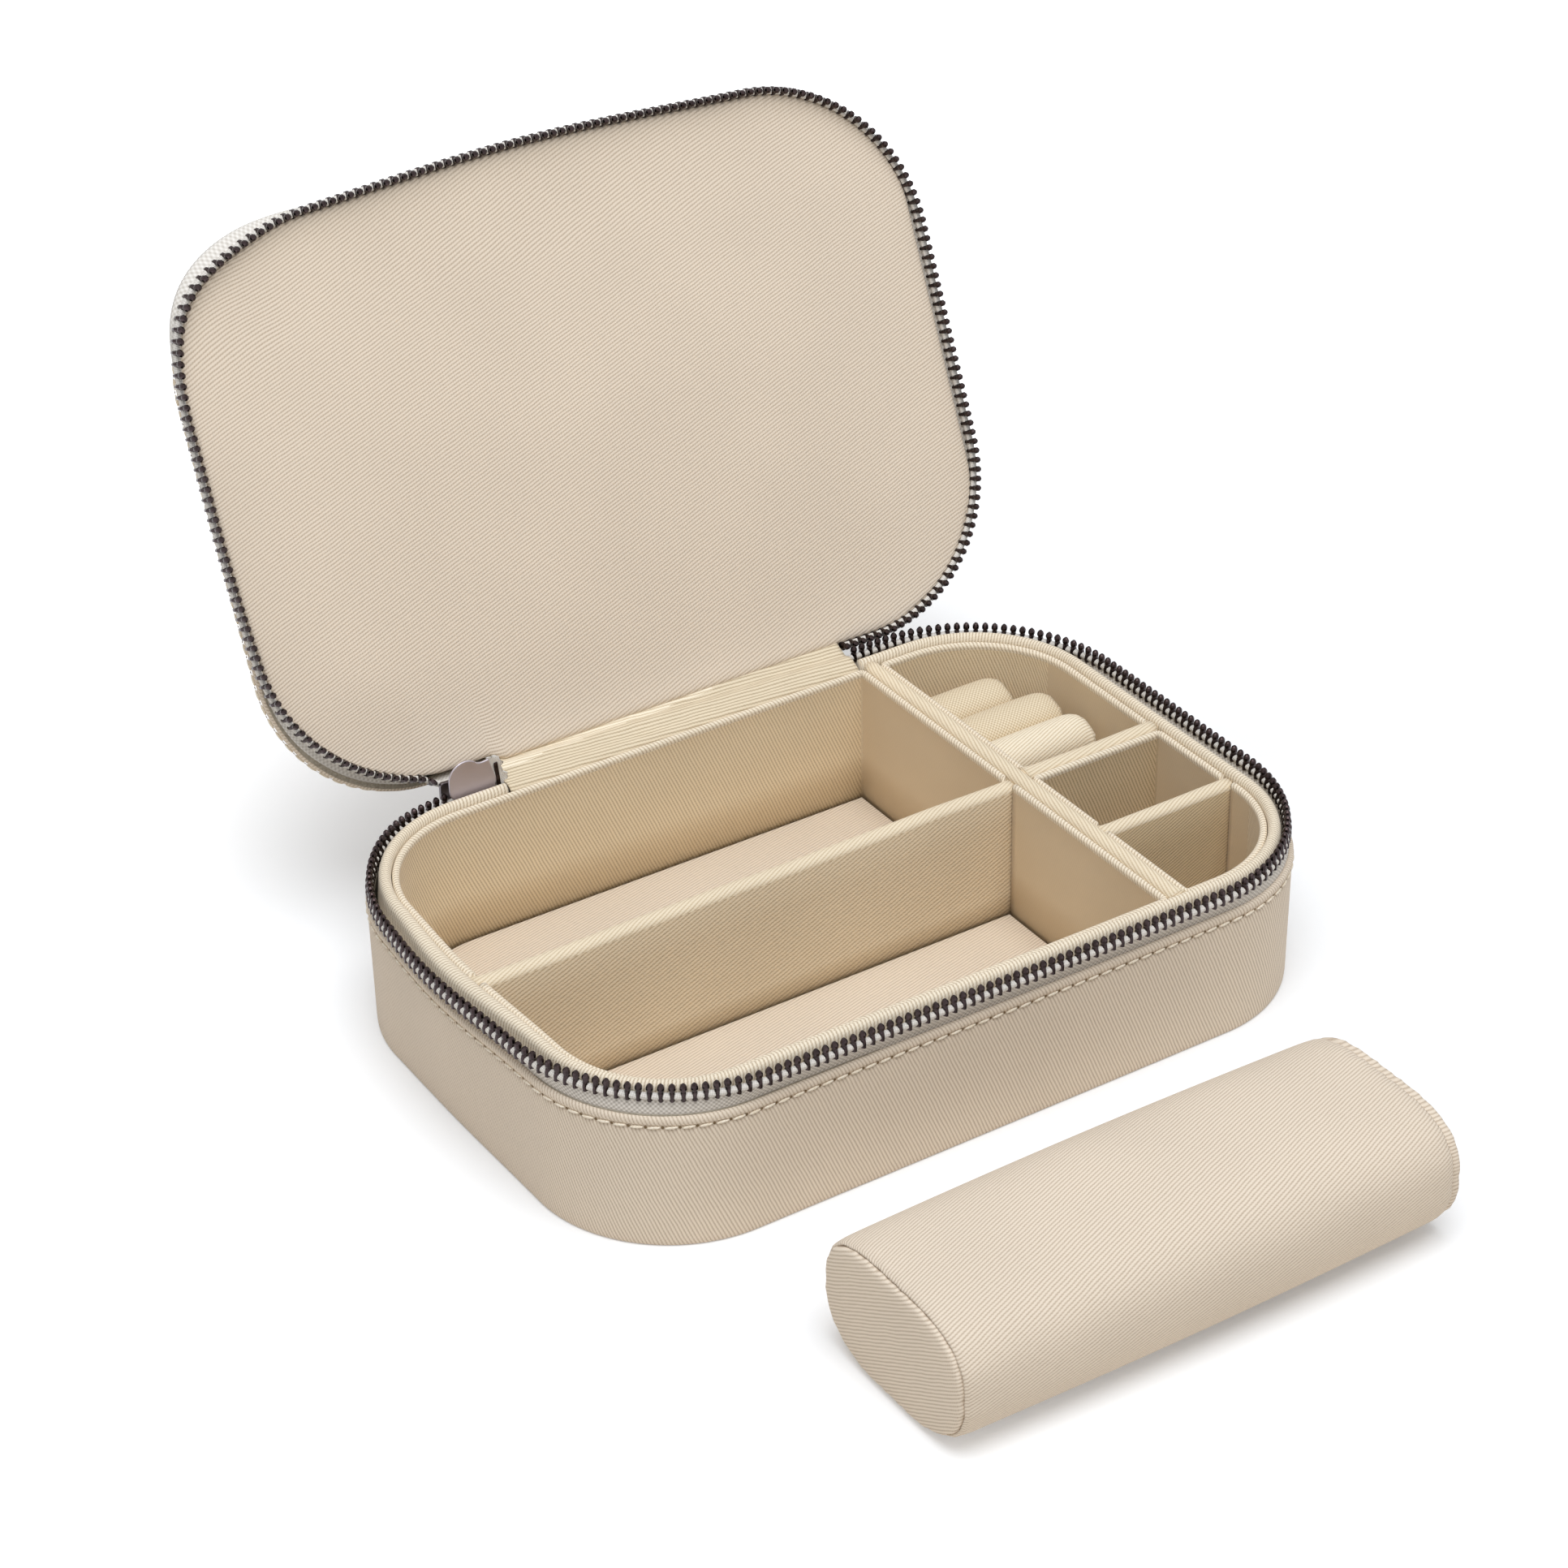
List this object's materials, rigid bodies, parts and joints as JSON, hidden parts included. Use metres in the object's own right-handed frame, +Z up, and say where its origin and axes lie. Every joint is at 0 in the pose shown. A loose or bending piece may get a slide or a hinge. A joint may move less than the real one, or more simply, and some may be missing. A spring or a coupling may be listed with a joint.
{
  "type": "jewelry box",
  "caption": "Zipped travel jewelry box in twill with a hinged lid, divided bays, a ring holder and a loose bracelet cushion.",
  "frame": {"origin": "middle of the base's underside, on the surface it stands on", "axes": "+X along the box, +Y towards the hinge at the back, +Z up"},
  "size_m": [0.209, 0.3008, 0.1733],
  "materials": {
    "twill": "cream twill",
    "board": "grey board",
    "foam": "soft wadding",
    "zip_tape": "woven tape",
    "zip_metal": "black nickel plate"
  },
  "bodies": {
    "base": {"base_bottom_cover": "twill", "base_wall_cover": "twill", "base_wall_board": "board", "base_bottom_board": "board", "base_zip_tape": "zip_tape", "base_zip_teeth": "zip_metal", "collar": "twill", "cross_divider": "twill", "long_divider": "twill", "ring_divider": "twill", "small_divider": "twill", "liner_left_back": "twill", "liner_left_front": "twill", "liner_ring": "twill", "liner_small_back": "twill", "liner_small_front": "twill", "floor_left_back": "twill", "floor_left_front": "twill", "floor_small_back": "twill", "floor_small_front": "twill", "ring_foam_base": "foam", "ring_roll_front": "twill", "ring_roll_middle": "twill", "ring_roll_back": "twill", "hinge_spine": "twill", "hinge_lining": "twill"},
    "lid": {"lid_cover": "twill", "lid_wadding": "foam", "lid_board": "board", "lid_wall_board": "board", "lid_inner_panel": "twill", "lid_zip_tape": "zip_tape", "lid_zip_teeth": "zip_metal"},
    "slider": {"slider_body": "zip_metal", "slider_crown": "zip_metal"},
    "pull_tab": {"pull_tab": "zip_metal"},
    "cushion": {"cushion_core": "foam", "cushion_sleeve": "twill", "cushion_cap_left": "twill", "cushion_cap_right": "twill"}
  },
  "joints": [
    {"name": "lid_hinge", "type": "hinge", "parent": "base", "child": "lid", "pos_m": [0, 0.0715, 0.042], "axis": [1, 0, 0], "range_deg": [0, 114], "deforming": ["hinge_spine", "hinge_lining"]},
    {"name": "slider_run", "type": "slide", "parent": "base", "child": "slider", "axis": [-1, 0, 0], "range_m": [0, 0.005]},
    {"name": "tab_swing", "type": "hinge", "parent": "slider", "child": "pull_tab", "pos_m": [-0.059, 0.0746, 0.0415], "axis": [1, 0, 0], "range_deg": [0, 60]},
    {"name": "cushion_lift", "type": "slide", "parent": "base", "child": "cushion", "axis": [0, 0, 1], "range_m": [0, 0.06]}
  ]
}
